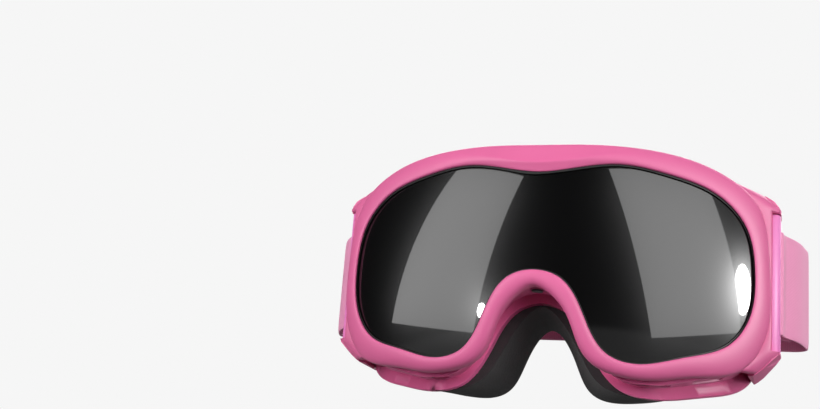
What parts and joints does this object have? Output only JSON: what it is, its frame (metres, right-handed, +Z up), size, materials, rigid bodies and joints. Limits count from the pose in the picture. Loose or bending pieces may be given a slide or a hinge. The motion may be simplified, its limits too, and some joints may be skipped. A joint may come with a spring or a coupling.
{
  "type": "sports goggles",
  "caption": "Wrap-round pink sports goggles with a curved mirror lens, foam face seal, hinged strap clips and emitter tubes in a ring round each eye opening.",
  "frame": {"origin": "middle of the box that the goggles fill, at the surface they stand on", "axes": "+Z up, the lens faces -Y, the wearer is at +Y, +X to the wearer's left"},
  "size_m": [0.2054, 0.0958, 0.0976],
  "materials": {
    "frame_pink": "satin moulded plastic",
    "inner_pink": "satin moulded plastic",
    "clip_pink": "satin moulded plastic",
    "mirror_lens": "mirror black, dark tinted",
    "black_gasket": "matt rubber",
    "grey_foam": "soft foam with a brushed skin",
    "pink_webbing": "elastic webbing",
    "emitter_dark": "dark clear epoxy",
    "button_grey": "matt rubber",
    "steel_pin": "turned",
    "board_green": "circuit board",
    "cell_foil": "foil pouch"
  },
  "bodies": {
    "frame": {"front_rim": "frame_pink", "lens": "mirror_lens", "lens_gasket": "black_gasket", "rear_shell": "frame_pink", "face_foam": "grey_foam", "middle_plate": "inner_pink", "eye_panel_left": "inner_pink", "eye_panel_right": "inner_pink", "panel_plugs_left": "inner_pink", "panel_plugs_right": "inner_pink", "controller_board": "board_green", "battery_cell": "cell_foil", "button_switch": "black_gasket", "clip_pin_left": "steel_pin", "clip_pin_right": "steel_pin", "strap_left": "pink_webbing", "strap_right": "pink_webbing", "emitter_tube_1_left": "inner_pink", "emitter_tube_1_right": "inner_pink", "emitter_tube_2_left": "inner_pink", "emitter_tube_2_right": "inner_pink", "emitter_tube_3_left": "inner_pink", "emitter_tube_3_right": "inner_pink", "emitter_tube_4_left": "inner_pink", "emitter_tube_4_right": "inner_pink", "emitter_tube_5_left": "inner_pink", "emitter_tube_5_right": "inner_pink", "emitter_tube_6_left": "inner_pink", "emitter_tube_6_right": "inner_pink", "emitter_tube_7_left": "inner_pink", "emitter_tube_7_right": "inner_pink", "emitter_tube_8_left": "inner_pink", "emitter_tube_8_right": "inner_pink", "emitter_tube_9_left": "inner_pink", "emitter_tube_9_right": "inner_pink", "emitter_1_left": "emitter_dark", "emitter_1_right": "emitter_dark", "emitter_2_left": "emitter_dark", "emitter_2_right": "emitter_dark", "emitter_3_left": "emitter_dark", "emitter_3_right": "emitter_dark", "emitter_4_left": "emitter_dark", "emitter_4_right": "emitter_dark", "emitter_5_left": "emitter_dark", "emitter_5_right": "emitter_dark", "emitter_6_left": "emitter_dark", "emitter_6_right": "emitter_dark", "emitter_7_left": "emitter_dark", "emitter_7_right": "emitter_dark", "emitter_8_left": "emitter_dark", "emitter_8_right": "emitter_dark", "emitter_9_left": "emitter_dark", "emitter_9_right": "emitter_dark"},
    "clip_left": {"strap_clip_left": "clip_pink"},
    "clip_right": {"strap_clip_right": "clip_pink"},
    "button": {"power_button": "button_grey"},
    "slider": {"strap_slider": "clip_pink"}
  },
  "joints": [
    {"name": "clip_left_hinge", "type": "hinge", "parent": "frame", "child": "clip_left", "pos_m": [0.088, 0.0003, 0.05074], "axis": [0, 0, -1], "range_deg": [0, 25], "deforming": ["strap_left"]},
    {"name": "clip_right_hinge", "type": "hinge", "parent": "frame", "child": "clip_right", "pos_m": [-0.088, 0.0003, 0.05074], "axis": [0, 0, 1], "range_deg": [0, 25], "deforming": ["strap_right"]},
    {"name": "button_press", "type": "slide", "parent": "frame", "child": "button", "axis": [0, 0, 1], "range_m": [0, 0.0008], "stiffness_N_per_m": 600},
    {"name": "slider_slide", "type": "slide", "parent": "frame", "child": "slider", "axis": [1, 0, 0], "range_m": [-0.006, 0.006]}
  ]
}
